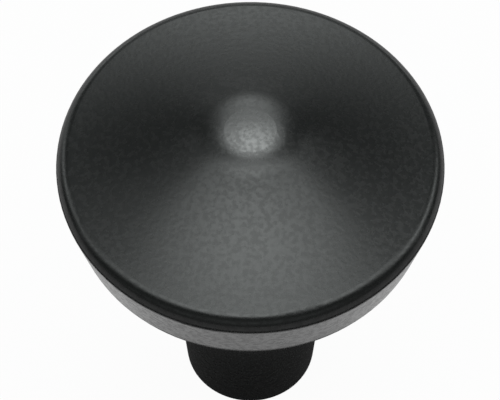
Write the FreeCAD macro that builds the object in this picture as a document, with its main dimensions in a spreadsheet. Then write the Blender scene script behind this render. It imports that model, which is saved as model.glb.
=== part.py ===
import FreeCAD, Part
import math
import os
import Sketcher

# A cabinet knob, cast in one piece. It stands on the flat end of its stem, the face that meets the
# cabinet door. The knob's axis is +Z and the origin is the centre of that face.
# Millimetres and degrees. Heights are counted from the base.
SIZES = [
    # the head, from its edge to its tip
    ("head_diameter", 30.0, "widest circle of the head"),
    ("overall_height", 33.2, "height of the tip above the base"),
    ("cone_rise", 5.0, "height of the tip above the widest circle"),
    ("edge_round", 1.2, "rounding of the widest circle, between the side and the cone"),
    ("cone_flare", 60.0, "hollow curve of the cone, steeper towards the tip"),
    ("crown_round", 7.0, "rounding from the cone to the blunt tip"),
    ("tip_round", 22.0, "shallow curve of the blunt tip"),
    ("tip_width", 4.0, "diameter of the blunt tip inside the crown's rounding"),
    # the head's side, its back and the stem
    ("side_height", 4.2, "height of the straight side under the widest circle"),
    ("side_taper", 14.0, "angle of that side to the axis; it draws in towards the base"),
    ("shoulder_round", 2.5, "full curve from the side to the back of the head"),
    ("neck_flare", 9.0, "hollow curve from the back of the head to the stem"),
    ("stem_taper", 4.5, "angle of the stem's side to the axis"),
    ("base_diameter", 10.4, "the stem where it meets the door"),
    ("base_round", 0.3, "rounding of the stem's bottom edge"),
    # the screw hole in the base
    ("thread_diameter", 4.0, "outer diameter of the screw's metric thread"),
    ("thread_pitch", 0.7, "pitch of that thread; the tapping drill is this much smaller"),
    ("hole_depth", 13.0, "depth of the drilled hole, without its point"),
    ("point_angle", 118.0, "drill point at the end of the hole"),
    ("mouth_bevel", 0.3, "how far the countersink reaches past the thread all round"),
    ("mouth_angle", 90.0, "full angle of the countersink"),
]


def make_sheet(doc):
    """The driving dimensions, one row each, with the name as the alias of its value."""
    sheet = doc.addObject("Spreadsheet::Sheet", "Sizes")
    for row, (name, value, note) in enumerate(SIZES, start=1):
        sheet.set(f"A{row}", name)
        sheet.set(f"B{row}", str(value))
        sheet.setAlias(f"B{row}", name)
        sheet.set(f"C{row}", note)
    doc.recompute()
    return sheet


def origin_plane(body, role):
    return next(f for f in body.Origin.OriginFeatures if f.Role == role)


def flat_sketch(body, name, role):
    sketch = body.newObject("Sketcher::SketchObject", name)
    sketch.AttachmentSupport = [(origin_plane(body, role), "")]
    sketch.MapMode = "FlatFace"
    return sketch


def place(radius, height):
    """A point of the half section."""
    return FreeCAD.Vector(radius, height, 0)


def toward(angle):
    """Unit vector in the half section, with its angle counted from the outward direction."""
    return place(math.cos(math.radians(angle)), math.sin(math.radians(angle)))


def first_step(start, direction, centre, reach):
    """How far from start, along direction, a point first comes within reach of centre."""
    offset = start - centre
    half = offset.dot(direction)
    return -half - math.sqrt(half**2 - offset.dot(offset) + reach**2)


def point_between(first, first_reach, second, second_reach):
    """The higher of the two points that lie at these distances from first and second."""
    span = second - first
    along = (first_reach**2 - second_reach**2 + span.Length**2) / (2 * span.Length)
    across = math.sqrt(first_reach**2 - along**2)
    unit = span / span.Length
    return first + unit * along + place(-unit.y, unit.x) * across


def side_points(size, centre, point):
    """The rounded edge, the straight side under it and the shoulder below that."""
    outward = toward(-size.side_taper)
    upward = toward(90 - size.side_taper)
    centre["edge"] = place(size.head_diameter / 2 - size.edge_round, size.overall_height - size.cone_rise)
    point["side_top"] = centre["edge"] + outward * size.edge_round
    point["side_foot"] = point["side_top"] - upward * (size.side_height / upward.y)
    centre["shoulder"] = point["side_foot"] - outward * size.shoulder_round


def stem_points(size, centre, point):
    """The stem's side and the hollow neck, which touches that side and the shoulder."""
    outward = toward(-size.stem_taper)
    upward = toward(90 - size.stem_taper)
    point["foot"] = place(size.base_diameter / 2, 0)
    neck_start = point["foot"] + outward * size.neck_flare
    rise = first_step(neck_start, upward, centre["shoulder"], size.shoulder_round + size.neck_flare)
    centre["neck"] = neck_start + upward * rise
    point["stem_top"] = point["foot"] + upward * rise
    across = (centre["neck"] - centre["shoulder"]).normalize()
    point["neck_top"] = centre["shoulder"] + across * size.shoulder_round


def front_points(size, centre, point):
    """The blunt tip, the crown's rounding, and the hollow cone from there to the edge's rounding."""
    centre["tip"] = place(0, size.overall_height - size.tip_round)
    point["tip"] = place(0, size.overall_height)
    outward = toward(math.degrees(math.acos(size.tip_width / 2 / size.tip_round)))
    point["tip_foot"] = centre["tip"] + outward * size.tip_round
    centre["crown"] = point["tip_foot"] - outward * size.crown_round
    centre["cone"] = point_between(
        centre["crown"], size.cone_flare + size.crown_round, centre["edge"], size.cone_flare + size.edge_round
    )
    for name, radius in (("edge", size.edge_round), ("crown", size.crown_round)):
        across = (centre["cone"] - centre[name]).normalize()
        point[f"cone_{name}"] = centre[name] + across * radius


class Outline:
    """Draws lines and arcs end to end in a sketch and remembers which end of each comes first."""

    def __init__(self, sketch):
        self.sketch = sketch
        self.ends = {}
        # how a sketch names its origin point, its upright axis and the middle of an arc
        self.origin, self.upright, self.middle = (-1, 1), -2, 3

    def line(self, name, start, end):
        number = self.sketch.addGeometry(Part.LineSegment(start, end), False)
        self.ends[name] = (number, 1, 2)

    def arc(self, name, centre, start, end, hollow=False):
        first, last = (end, start) if hollow else (start, end)
        turn = [math.atan2(p.y - centre.y, p.x - centre.x) for p in (first, last)]
        circle = Part.Circle(centre, FreeCAD.Vector(0, 0, 1), (start - centre).Length)
        number = self.sketch.addGeometry(Part.ArcOfCircle(circle, *turn), False)
        self.ends[name] = (number, 2, 1) if hollow else (number, 1, 2)

    def number(self, name):
        return self.ends[name][0]

    def start(self, name):
        return self.ends[name][0], self.ends[name][1]

    def end(self, name):
        return self.ends[name][0], self.ends[name][2]

    def rule(self, *constraint):
        return self.sketch.addConstraint(Sketcher.Constraint(*constraint))

    def join(self, kind, first, second):
        self.rule(kind, *self.end(first), *self.start(second))

    def driven(self, name, expression, *constraint):
        """A dimension that takes its value from the sheet."""
        number = self.rule(*constraint)
        self.sketch.renameConstraint(number, name)
        self.sketch.setExpression(f"Constraints.{name}", expression)

    def reach(self, name, expression, spot, value):
        """How far a point lies from the axis."""
        self.driven(name, expression, "DistanceX", *self.origin, *spot, value)

    def rise(self, name, expression, spot, value):
        """How high a point lies above the base."""
        self.driven(name, expression, "DistanceY", *self.origin, *spot, value)


def draw_section(sketch, size):
    """The closed half section, without the screw hole: base, stem, back, side, cone, tip and axis."""
    centre, point = {}, {}
    side_points(size, centre, point)
    stem_points(size, centre, point)
    front_points(size, centre, point)
    axis_foot = place(0, 0)
    outline = Outline(sketch)
    outline.line("base", axis_foot, point["foot"])
    outline.line("stem", point["foot"], point["stem_top"])
    outline.arc("neck", centre["neck"], point["stem_top"], point["neck_top"], hollow=True)
    outline.arc("shoulder", centre["shoulder"], point["neck_top"], point["side_foot"])
    outline.line("side", point["side_foot"], point["side_top"])
    outline.arc("edge", centre["edge"], point["side_top"], point["cone_edge"])
    outline.arc("cone", centre["cone"], point["cone_edge"], point["cone_crown"], hollow=True)
    outline.arc("crown", centre["crown"], point["cone_crown"], point["tip_foot"])
    outline.arc("tip", centre["tip"], point["tip_foot"], point["tip"])
    outline.line("axis", point["tip"], axis_foot)

    smooth = ["stem", "neck", "shoulder", "side", "edge", "cone", "crown", "tip"]
    for first, second in zip(smooth, smooth[1:]):
        outline.join("Tangent", first, second)
    for first, second in (("base", "stem"), ("tip", "axis"), ("axis", "base")):
        outline.join("Coincident", first, second)
    outline.rule("Coincident", *outline.start("base"), *outline.origin)
    outline.rule("Horizontal", outline.number("base"))
    outline.rule("Vertical", outline.number("axis"))
    outline.rule("PointOnObject", outline.number("tip"), outline.middle, outline.upright)

    edge_middle = (outline.number("edge"), outline.middle)
    outline.reach("base_reach", "Sizes.base_diameter / 2", outline.end("base"), point["foot"].x)
    outline.reach("edge_reach", "Sizes.head_diameter / 2 - Sizes.edge_round", edge_middle, centre["edge"].x)
    outline.reach("tip_reach", "Sizes.tip_width / 2", outline.start("tip"), point["tip_foot"].x)
    outline.rise("edge_rise", "Sizes.overall_height - Sizes.cone_rise", edge_middle, centre["edge"].y)
    outline.rise("tip_rise", "Sizes.overall_height", outline.end("tip"), size.overall_height)
    side_ends = (*outline.start("side"), *outline.end("side"))
    outline.driven("side_rise", "Sizes.side_height", "DistanceY", *side_ends, size.side_height)
    for name, cell in (
        ("neck", "neck_flare"),
        ("shoulder", "shoulder_round"),
        ("edge", "edge_round"),
        ("cone", "cone_flare"),
        ("crown", "crown_round"),
        ("tip", "tip_round"),
    ):
        radius = getattr(size, cell)
        outline.driven(f"{name}_radius", f"Sizes.{cell}", "Radius", outline.number(name), radius)
    for name in ("stem", "side"):
        cell = f"{name}_taper"
        lean = math.radians(90 - getattr(size, cell))
        outline.driven(f"{name}_lean", f"90 deg - Sizes.{cell} * 1 deg", "Angle", outline.number(name), lean)


def turn_knob(doc, body, size):
    """The knob without its hole: the half section swept once round the axis."""
    sketch = flat_sketch(body, "Section", "XZ_Plane")
    draw_section(sketch, size)
    doc.recompute()
    turned = body.newObject("PartDesign::Revolution", "Turned")
    turned.Profile = sketch
    turned.ReferenceAxis = (sketch, ["V_Axis"])
    turned.Angle = 360
    doc.recompute()
    return turned


def round_base_edge(doc, body, turned, size):
    """The small rounding where the stem's side meets the base."""
    reach, close = size.base_diameter / 2, 0.001
    names = [
        f"Edge{number}"
        for number, edge in enumerate(turned.Shape.Edges, start=1)
        if edge.isClosed() and edge.BoundBox.ZMax < close and abs(edge.BoundBox.XMax - reach) < close
    ]
    fillet = body.newObject("PartDesign::Fillet", "BaseRounding")
    fillet.Base = (turned, names)
    fillet.setExpression("Radius", "Sizes.base_round")
    doc.recompute()
    return fillet


def drill_screw_hole(doc, body, size):
    """The blind hole in the base: tapping drill, drill point and countersunk mouth."""
    drill_diameter = size.thread_diameter - size.thread_pitch
    spot = flat_sketch(body, "HoleSpot", "XY_Plane")
    drill = Part.Circle(place(0, 0), FreeCAD.Vector(0, 0, 1), drill_diameter / 2)
    circle = spot.addGeometry(drill, False)
    # the circle's middle, 3, on the sketch's origin point, -1 and 1
    spot.addConstraint(Sketcher.Constraint("Coincident", circle, 3, -1, 1))
    spot.addConstraint(Sketcher.Constraint("Diameter", circle, drill_diameter))
    spot.setExpression("Constraints[1]", "Sizes.thread_diameter - Sizes.thread_pitch")
    doc.recompute()
    hole = body.newObject("PartDesign::Hole", "ScrewHole")
    hole.Profile = spot
    doc.recompute()
    hole.Reversed = True
    hole.ThreadType = "None"
    hole.DepthType = "Dimension"
    hole.DrillPoint = "Angled"
    hole.HoleCutType = "Countersink"
    for setting, expression in (
        ("Diameter", "Sizes.thread_diameter - Sizes.thread_pitch"),
        ("Depth", "Sizes.hole_depth"),
        ("DrillPointAngle", "Sizes.point_angle * 1 deg"),
        ("HoleCutDiameter", "Sizes.thread_diameter + 2 * Sizes.mouth_bevel"),
        ("HoleCutCountersinkAngle", "Sizes.mouth_angle * 1 deg"),
    ):
        hole.setExpression(setting, expression)
    doc.recompute()
    return hole


def check(doc, body, volume_before_hole):
    """Stops the script if a feature failed or the hole took nothing away."""
    failed = [thing.Label for thing in doc.Objects if {"Invalid", "Error"} & set(thing.State)]
    if failed:
        raise RuntimeError(f"these features failed: {failed}")
    shape = body.Shape
    if shape.isNull() or not shape.isValid() or len(shape.Solids) != 1:
        raise RuntimeError(f"{body.Label} is not one valid solid")
    if not 0 < shape.Volume < volume_before_hole:
        raise RuntimeError("the screw hole cut nothing")


def main():
    doc = FreeCAD.newDocument("CabinetKnob")
    size = make_sheet(doc)
    body = doc.addObject("PartDesign::Body", "Knob")
    body.Label = "knob"
    doc.recompute()
    turned = turn_knob(doc, body, size)
    rounded = round_base_edge(doc, body, turned, size)
    body.Tip = drill_screw_hole(doc, body, size)
    doc.recompute()
    check(doc, body, rounded.Shape.Volume)
    os.makedirs("parts", exist_ok=True)
    body.Shape.exportStep(f"parts/{body.Label}.step")
    print(body.Label, round(body.Shape.Volume, 1), "cubic mm", body.Shape.optimalBoundingBox())


main()
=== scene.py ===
import math
from collections import namedtuple

import bpy
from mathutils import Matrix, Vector


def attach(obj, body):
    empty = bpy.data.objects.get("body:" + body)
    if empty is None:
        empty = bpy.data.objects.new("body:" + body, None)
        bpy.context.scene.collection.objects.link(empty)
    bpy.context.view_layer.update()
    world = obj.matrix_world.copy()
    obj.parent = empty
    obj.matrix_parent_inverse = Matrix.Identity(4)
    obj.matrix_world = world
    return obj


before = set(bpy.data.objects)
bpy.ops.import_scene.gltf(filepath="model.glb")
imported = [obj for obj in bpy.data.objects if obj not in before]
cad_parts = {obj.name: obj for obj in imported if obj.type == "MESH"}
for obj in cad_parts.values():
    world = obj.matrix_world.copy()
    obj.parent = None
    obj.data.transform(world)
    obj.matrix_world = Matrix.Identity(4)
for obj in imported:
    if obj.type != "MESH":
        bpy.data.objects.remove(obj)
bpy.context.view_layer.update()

# A satin black cabinet knob on a white table. Lengths are in metres and the knob stands on z = 0.
MM = 0.001

# The tapped screw hole in the base
HOLE_MOUTH_RADIUS = 2.3 * MM
HOLE_TOP = 14.0 * MM
BORE_RADIUS = 1.65 * MM
THREAD_PITCH = 0.7 * MM
THREAD_CREST_RADIUS = 1.5 * MM
THREAD_FOOT_RADIUS = 1.7 * MM
THREAD_FOOT_HEIGHT = 0.62 * MM
THREAD_CREST_HEIGHT = 0.1 * MM
THREAD_START = 0.66 * MM
THREAD_TURNS = 16
THREAD_STEPS_PER_TURN = 48
THREAD_FADE = math.tau / 4
THREAD_CREASE = math.radians(30)

# The coat: its two blacks, the roughness of its hollows and how much smoother its pimples are
COAT_DARK = (0.0072, 0.0078, 0.0076, 1.0)
COAT_PALE = (0.0122, 0.0131, 0.0128, 1.0)
COAT_ROUGHNESS = 0.29
COAT_PIMPLE_ROUGHNESS = -0.08
COAT_UNEVENNESS = 0.012
COAT_BUMP = 0.008 * MM
COAT_IOR = 1.6
COAT_GRAINS_PER_METRE = 2500.0
COAT_SOFTNESS = 0.4

# The bare zinc in the screw hole
ZINC_DARK = (0.34, 0.35, 0.37, 1.0)
ZINC_PALE = (0.50, 0.51, 0.53, 1.0)
ZINC_ROUGHNESS = 0.28
ZINC_GRAIN_ROUGHNESS = 0.14
ZINC_BUMP = 0.003 * MM
ZINC_GRAINS_PER_METRE = 9000.0
ZINC_SOFTNESS = 0.3

# How many soft clouds a finish has for each of its grains
CLOUDS_PER_GRAIN = 0.035

# The camera looks down from the front and aims at a point on the knob's axis
CAMERA_ELEVATION = math.radians(58.1)
CAMERA_DISTANCE = 330 * MM
CAMERA_AIM = Vector((0, 0, 23.05 * MM))
CAMERA_LENS = 303.6
CAMERA_SENSOR = 36.0
CAMERA_SHIFT = -0.0007

# The table top, just under the knob's base
TABLE_RADIUS = 3.0
TABLE_HEIGHT = -0.02 * MM
TABLE_COLOUR = (0.8, 0.8, 0.8, 1.0)
TABLE_WHITE_SHARE = 0.96

# The knob's reflections see painted shadow and painted light on the table, not the lit table: a painted
# shadow under the knob, a painted bright ring round it and a painted far table, paler behind than in front.
# Where each ring fades in or out, as distances from the knob's axis, how far in front and behind the far
# table's level changes, and the levels
PAINTED_RING_START = (11.5 * MM, 14.0 * MM)
PAINTED_RING_END = (22.0 * MM, 28.0 * MM)
PAINTED_FAR_START = (38.0 * MM, 46.0 * MM)
FRONT_TO_BACK = (-30.0 * MM, 30.0 * MM)
PAINTED_SHADOW_LEVEL = 0.05
PAINTED_RING_LEVEL = 0.8
PAINTED_FAR_FRONT_LEVEL = 0.34
PAINTED_FAR_BACK_LEVEL = 0.5


def clear_selection():
    if bpy.context.object and bpy.context.object.mode != "OBJECT":
        bpy.ops.object.mode_set(mode="OBJECT")
    bpy.ops.object.select_all(action="DESELECT")


# Node helpers


class NodeSheet:
    """Adds nodes to a material, a group or the world and links them."""

    def __init__(self, tree):
        self.tree = tree
        tree.nodes.clear()

    def add(self, kind, settings=None, **inputs):
        node = self.tree.nodes.new(kind)
        for name, value in (settings or {}).items():
            setattr(node, name, value)
        for name, value in inputs.items():
            self.feed(node, name.replace("_", " "), value)
        return node

    def feed(self, node, name, value):
        socket = name if isinstance(name, bpy.types.NodeSocket) else node.inputs[name]
        if isinstance(value, bpy.types.NodeSocket):
            self.tree.links.new(value, socket)
        else:
            socket.default_value = value

    def math(self, operation, first, second=0.0, third=0.0):
        node = self.add("ShaderNodeMath", {"operation": operation})
        for socket, value in zip(node.inputs, (first, second, third)):
            self.feed(node, socket, value)
        return node.outputs[0]

    def ramp(self, value, low, high, start=0.0, end=1.0):
        """Goes smoothly from start to end while value goes from low to high."""
        node = self.add("ShaderNodeMapRange", {"interpolation_type": "SMOOTHSTEP"}, Value=value)
        for name, number in (("From Min", low), ("From Max", high), ("To Min", start), ("To Max", end)):
            node.inputs[name].default_value = number
        return node.outputs["Result"]

    def blend(self, share, first, second):
        """The first colour where share is 0 and the second where it is 1."""
        node = self.add("ShaderNodeMix", {"data_type": "RGBA"})
        for number, value in ((0, share), (6, first), (7, second)):
            self.feed(node, node.inputs[number], value)
        return node.outputs[2]


def new_group(name, inputs, outputs):
    """An empty node group with number inputs and outputs."""
    group = bpy.data.node_groups.new(name, "ShaderNodeTree")
    nodes = NodeSheet(group)
    for label, value in inputs:
        socket = group.interface.new_socket(label, in_out="INPUT", socket_type="NodeSocketFloat")
        socket.default_value = value
    for label in outputs:
        group.interface.new_socket(label, in_out="OUTPUT", socket_type="NodeSocketFloat")
    return nodes, nodes.add("NodeGroupInput").outputs, nodes.add("NodeGroupOutput")


def new_material(name):
    material = bpy.data.materials.new(name)
    material.use_nodes = True
    return material, NodeSheet(material.node_tree)


# The finishes of the knob


def make_grain_group():
    """The fine pimples of a surface, with a soft unevenness under them.

    Speckle and Cloud go from 0 to 1, and Height is for a bump.
    """
    nodes, start, end = new_group(
        "Fine grain",
        [("Grains per metre", 5000.0), ("Softness", 0.5)],
        ["Height", "Speckle", "Cloud"],
    )
    place = nodes.add("ShaderNodeTexCoord").outputs["Object"]
    grains = start["Grains per metre"]
    grain = nodes.add("ShaderNodeTexNoise", Vector=place, Scale=grains, Detail=1.0, Roughness=0.5)
    wider = nodes.math("MULTIPLY", grains, CLOUDS_PER_GRAIN)
    cloud = nodes.add("ShaderNodeTexNoise", Vector=place, Scale=wider, Detail=3.0, Roughness=0.55)
    height = nodes.math("MULTIPLY_ADD", cloud.outputs["Fac"], start["Softness"], grain.outputs["Fac"])
    nodes.feed(end, "Height", height)
    nodes.feed(end, "Speckle", nodes.ramp(grain.outputs["Fac"], 0.34, 0.66))
    nodes.feed(end, "Cloud", nodes.ramp(cloud.outputs["Fac"], 0.3, 0.7))
    return nodes.tree


def make_bore_group():
    """1 inside the screw hole, where the tap has cut through the coat, and 0 elsewhere."""
    nodes, start, end = new_group(
        "Screw hole",
        [("Radius", HOLE_MOUTH_RADIUS), ("Top", HOLE_TOP)],
        ["Inside"],
    )
    place = nodes.add("ShaderNodeTexCoord").outputs["Object"]
    parts = nodes.add("ShaderNodeSeparateXYZ", Vector=place).outputs
    across = nodes.math("MULTIPLY", parts["X"], parts["X"])
    square = nodes.math("MULTIPLY_ADD", parts["Y"], parts["Y"], across)
    narrow = nodes.math("LESS_THAN", nodes.math("SQRT", square), start["Radius"])
    below = nodes.math("LESS_THAN", parts["Z"], start["Top"])
    nodes.feed(end, "Inside", nodes.math("MULTIPLY", narrow, below))
    return nodes.tree


def place_grain(nodes, grain_group, grains_per_metre, softness):
    """The grain group's outputs in a material, at that finish's own scale."""
    grain = nodes.add("ShaderNodeGroup", {"node_tree": grain_group})
    nodes.feed(grain, "Grains per metre", grains_per_metre)
    nodes.feed(grain, "Softness", softness)
    return grain.outputs


def zinc_colour(nodes, grain):
    return nodes.blend(grain["Cloud"], ZINC_DARK, ZINC_PALE)


def coat_material(grain_group, bore_group):
    """Satin black coat with the fine grain of its powder, and bare zinc in the screw hole."""
    material, nodes = new_material("Satin black coat")
    grain = place_grain(nodes, grain_group, COAT_GRAINS_PER_METRE, COAT_SOFTNESS)
    hole = nodes.add("ShaderNodeGroup", {"node_tree": bore_group}, Radius=HOLE_MOUTH_RADIUS, Top=HOLE_TOP)
    inside = hole.outputs["Inside"]
    coat = nodes.blend(grain["Speckle"], COAT_DARK, COAT_PALE)
    colour = nodes.blend(inside, coat, zinc_colour(nodes, grain))
    unevenness = nodes.math("MULTIPLY_ADD", grain["Cloud"], COAT_UNEVENNESS, COAT_ROUGHNESS)
    rough = nodes.math("MULTIPLY_ADD", grain["Speckle"], COAT_PIMPLE_ROUGHNESS, unevenness)
    bump = nodes.add("ShaderNodeBump", Height=grain["Height"], Strength=1.0, Distance=COAT_BUMP)
    shell = nodes.add("ShaderNodeBsdfPrincipled", Base_Color=colour, Roughness=rough, Metallic=inside)
    nodes.feed(shell, "Normal", bump.outputs[0])
    shell.inputs["IOR"].default_value = COAT_IOR
    nodes.add("ShaderNodeOutputMaterial", Surface=shell.outputs[0])
    return material


def zinc_material(grain_group):
    """Bare die-cast zinc, cut by the tap."""
    material, nodes = new_material("Tapped zinc")
    grain = place_grain(nodes, grain_group, ZINC_GRAINS_PER_METRE, ZINC_SOFTNESS)
    rough = nodes.math("MULTIPLY_ADD", grain["Speckle"], ZINC_GRAIN_ROUGHNESS, ZINC_ROUGHNESS)
    bump = nodes.add("ShaderNodeBump", Height=grain["Height"], Strength=1.0, Distance=ZINC_BUMP)
    shell = nodes.add("ShaderNodeBsdfPrincipled", Base_Color=zinc_colour(nodes, grain), Roughness=rough)
    nodes.feed(shell, "Normal", bump.outputs[0])
    shell.inputs["Metallic"].default_value = 1.0
    nodes.add("ShaderNodeOutputMaterial", Surface=shell.outputs[0])
    return material


def dress_knob(material):
    """The cast knob keeps its own shape and gets the coat."""
    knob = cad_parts["knob"]
    knob.data.materials.clear()
    knob.data.materials.append(material)


# The thread in the screw hole


def fade_thread_start(ridge):
    """The ridge rises out of the wall over its first quarter turn."""
    for vertex in ridge.data.vertices:
        x, y, z = vertex.co
        turned = math.atan2(y, x) % math.tau
        climbed = z - THREAD_START - THREAD_PITCH * turned / math.tau
        radius = math.hypot(x, y)
        if turned < THREAD_FADE and climbed < THREAD_PITCH * 0.95 and radius < BORE_RADIUS:
            faded = BORE_RADIUS + (radius - BORE_RADIUS) * turned / THREAD_FADE
            vertex.co.x *= faded / radius
            vertex.co.y *= faded / radius


def make_thread(material):
    """One ridge that winds up the bore: a flat-crested V, swept by the screw modifier.

    It is closed at both ends.
    """
    clear_selection()
    bpy.ops.mesh.primitive_plane_add(size=1.0, location=(0, 0, 0), rotation=(math.pi / 2, 0, 0))
    ridge = bpy.context.object
    ridge.name = ridge.data.name = "screw_thread"
    bpy.ops.object.transform_apply(location=True, rotation=True, scale=True)
    middle = (THREAD_CREST_RADIUS + THREAD_FOOT_RADIUS) / 2
    width = THREAD_FOOT_RADIUS - THREAD_CREST_RADIUS
    centre = (middle, 0, THREAD_START + THREAD_FOOT_HEIGHT / 2)
    bpy.ops.object.mode_set(mode="EDIT")
    bpy.ops.mesh.select_all(action="SELECT")
    bpy.ops.transform.resize(value=(width, 1, THREAD_FOOT_HEIGHT), center_override=(0, 0, 0))
    bpy.ops.transform.translate(value=centre)
    bpy.ops.object.mode_set(mode="OBJECT")
    for vertex in ridge.data.vertices:
        vertex.select = vertex.co.x < middle
    bpy.ops.object.mode_set(mode="EDIT")
    bpy.ops.mesh.select_mode(type="VERT")
    bpy.ops.transform.resize(value=(1, 1, THREAD_CREST_HEIGHT / THREAD_FOOT_HEIGHT), center_override=centre)
    bpy.ops.mesh.select_all(action="SELECT")
    bpy.ops.mesh.delete(type="ONLY_FACE")
    bpy.ops.object.mode_set(mode="OBJECT")
    wind = ridge.modifiers.new("Wind", "SCREW")
    wind.axis = "Z"
    wind.angle = math.tau
    wind.screw_offset = THREAD_PITCH
    wind.iterations = THREAD_TURNS
    wind.steps = wind.render_steps = THREAD_STEPS_PER_TURN
    bpy.ops.object.modifier_apply(modifier=wind.name)
    bpy.ops.object.mode_set(mode="EDIT")
    bpy.ops.mesh.select_mode(type="EDGE")
    bpy.ops.mesh.select_all(action="DESELECT")
    bpy.ops.mesh.select_non_manifold()
    bpy.ops.mesh.fill()
    bpy.ops.mesh.select_all(action="SELECT")
    bpy.ops.mesh.normals_make_consistent(inside=False)
    bpy.ops.object.mode_set(mode="OBJECT")
    fade_thread_start(ridge)
    bpy.ops.object.shade_smooth_by_angle(angle=THREAD_CREASE)
    ridge.data.materials.clear()
    ridge.data.materials.append(material)
    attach(ridge, "root")


# The camera, table and lights


def make_camera():
    """Looks down at the knob from the front with a long lens."""
    outward = Vector((0, -math.cos(CAMERA_ELEVATION), math.sin(CAMERA_ELEVATION)))
    data = bpy.data.cameras.new("Camera")
    camera = bpy.data.objects.new("Camera", data)
    bpy.context.scene.collection.objects.link(camera)
    camera.location = CAMERA_AIM + outward * CAMERA_DISTANCE
    camera.rotation_euler = (math.pi / 2 - CAMERA_ELEVATION, 0, 0)
    data.sensor_width = CAMERA_SENSOR
    data.lens = CAMERA_LENS
    data.shift_x = CAMERA_SHIFT
    data.clip_start = 0.01
    data.clip_end = 50.0
    bpy.context.scene.camera = camera


def painted_table_shade_and_light(nodes):
    """Painted shade and light on the table, seen only in the knob's reflections: a painted shadow under the
    knob, a painted bright ring under its rim, dark past that, and pale further out.
    """
    place = nodes.add("ShaderNodeTexCoord").outputs["Object"]
    reach = nodes.add("ShaderNodeVectorMath", {"operation": "LENGTH"}, Vector=place).outputs["Value"]
    near = nodes.ramp(reach, *PAINTED_RING_START, PAINTED_SHADOW_LEVEL, PAINTED_RING_LEVEL)
    lit = nodes.math("MULTIPLY", near, nodes.ramp(reach, *PAINTED_RING_END, 1.0, 0.0))
    depth = nodes.add("ShaderNodeSeparateXYZ", Vector=place).outputs["Y"]
    far = nodes.ramp(depth, *FRONT_TO_BACK, PAINTED_FAR_FRONT_LEVEL, PAINTED_FAR_BACK_LEVEL)
    return nodes.math("MULTIPLY_ADD", far, nodes.ramp(reach, *PAINTED_FAR_START), lit)


def make_floor():
    """A white table top, wide enough to fill every view from above. The knob's reflections see painted shade
    and light on it instead.
    """
    clear_selection()
    place = (0, 0, TABLE_HEIGHT)
    bpy.ops.mesh.primitive_circle_add(vertices=64, radius=TABLE_RADIUS, fill_type="NGON", location=place)
    floor = bpy.context.object
    floor.name = "floor"
    material, nodes = new_material("White table, painted shade in reflections")
    path = nodes.add("ShaderNodeLightPath").outputs
    mirrored = nodes.math("MAXIMUM", path["Is Glossy Ray"], path["Is Transmission Ray"])
    level = nodes.add("ShaderNodeMix", {"data_type": "FLOAT"})
    # Glossy and transmission rays see the painted shadow and painted light; camera rays see an even white
    for number, value in ((0, mirrored), (2, 1.0), (3, painted_table_shade_and_light(nodes))):
        nodes.feed(level, level.inputs[number], value)
    share = nodes.math("MAXIMUM", nodes.math("MULTIPLY", path["Is Camera Ray"], TABLE_WHITE_SHARE), mirrored)
    matt = nodes.add("ShaderNodeBsdfDiffuse", Color=TABLE_COLOUR)
    white = nodes.add("ShaderNodeEmission", Color=(1.0, 1.0, 1.0, 1.0), Strength=level.outputs[0])
    mix = nodes.add("ShaderNodeMixShader")
    for number, value in ((0, share), (1, matt.outputs[0]), (2, white.outputs[0])):
        nodes.feed(mix, mix.inputs[number], value)
    nodes.add("ShaderNodeOutputMaterial", Surface=mix.outputs[0])
    floor.data.materials.append(material)


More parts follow.
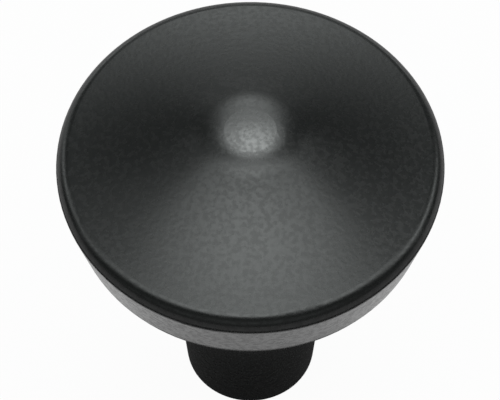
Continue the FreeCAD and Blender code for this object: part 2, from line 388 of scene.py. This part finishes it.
# The studio's lights, as soft patches on the world. The tilt is in degrees behind the zenith, and the side
# is the direction's X: -1 at the left wall, 1 at the right one.
Patch = namedtuple("Patch", "tilt tilt_spread side side_spread level")
LIGHT_PATCHES = {
    "overhead": Patch(tilt=3, tilt_spread=8, side=0.1, side_spread=0.9, level=2.2),
    "front overhead": Patch(tilt=-9, tilt_spread=8, side=0, side_spread=0.48, level=3),
    "back": Patch(tilt=26, tilt_spread=8, side=0.02, side_spread=0.17, level=9),
    "low back": Patch(tilt=52, tilt_spread=16, side=0, side_spread=0.25, level=2.3),
    "right wall": Patch(tilt=25, tilt_spread=27, side=0.76, side_spread=0.08, level=2.4),
    "left wall": Patch(tilt=42, tilt_spread=38, side=-0.76, side_spread=0.08, level=1.5),
    "back right": Patch(tilt=21, tilt_spread=8, side=0.46, side_spread=0.12, level=0.25),
    "back left": Patch(tilt=21, tilt_spread=8, side=-0.46, side_spread=0.12, level=0.35),
    "back horizon": Patch(tilt=91, tilt_spread=6, side=0, side_spread=0.4, level=1.2),
    "right horizon": Patch(tilt=88, tilt_spread=9, side=0.48, side_spread=0.18, level=1.2),
    "left horizon": Patch(tilt=86, tilt_spread=10, side=-0.48, side_spread=0.18, level=1.3),
    "low front": Patch(tilt=-62, tilt_spread=16, side=0, side_spread=1, level=0.3),
}
STUDIO_DARK = 0.01
STUDIO_TINT = (0.965, 1.012, 1.0, 1.0)


def make_world():
    """A dark studio with soft patches of light."""
    world = bpy.data.worlds.new("Studio")
    bpy.context.scene.world = world
    world.use_nodes = True
    nodes = NodeSheet(world.node_tree)
    direction = nodes.add("ShaderNodeTexCoord").outputs["Generated"]
    parts = nodes.add("ShaderNodeSeparateXYZ", Vector=direction).outputs
    tilt = nodes.math("ARCTAN2", parts["Y"], parts["Z"])
    level = STUDIO_DARK
    for patch in LIGHT_PATCHES.values():
        back = nodes.math("SUBTRACT", tilt, math.radians(patch.tilt))
        back = nodes.math("DIVIDE", back, math.radians(patch.tilt_spread))
        side = nodes.math("SUBTRACT", parts["X"], patch.side)
        side = nodes.math("DIVIDE", side, patch.side_spread)
        square = nodes.math("MULTIPLY_ADD", back, back, nodes.math("MULTIPLY", side, side))
        fade = nodes.math("EXPONENT", nodes.math("MULTIPLY", square, -1.0))
        level = nodes.math("MULTIPLY_ADD", fade, patch.level, level)
    studio = nodes.add("ShaderNodeBackground", Color=STUDIO_TINT, Strength=level)
    nodes.add("ShaderNodeOutputWorld", Surface=studio.outputs[0])


def main():
    bpy.context.scene.view_settings.view_transform = "Standard"
    grain_group = make_grain_group()
    dress_knob(coat_material(grain_group, make_bore_group()))
    make_thread(zinc_material(grain_group))
    make_camera()
    make_floor()
    make_world()


main()
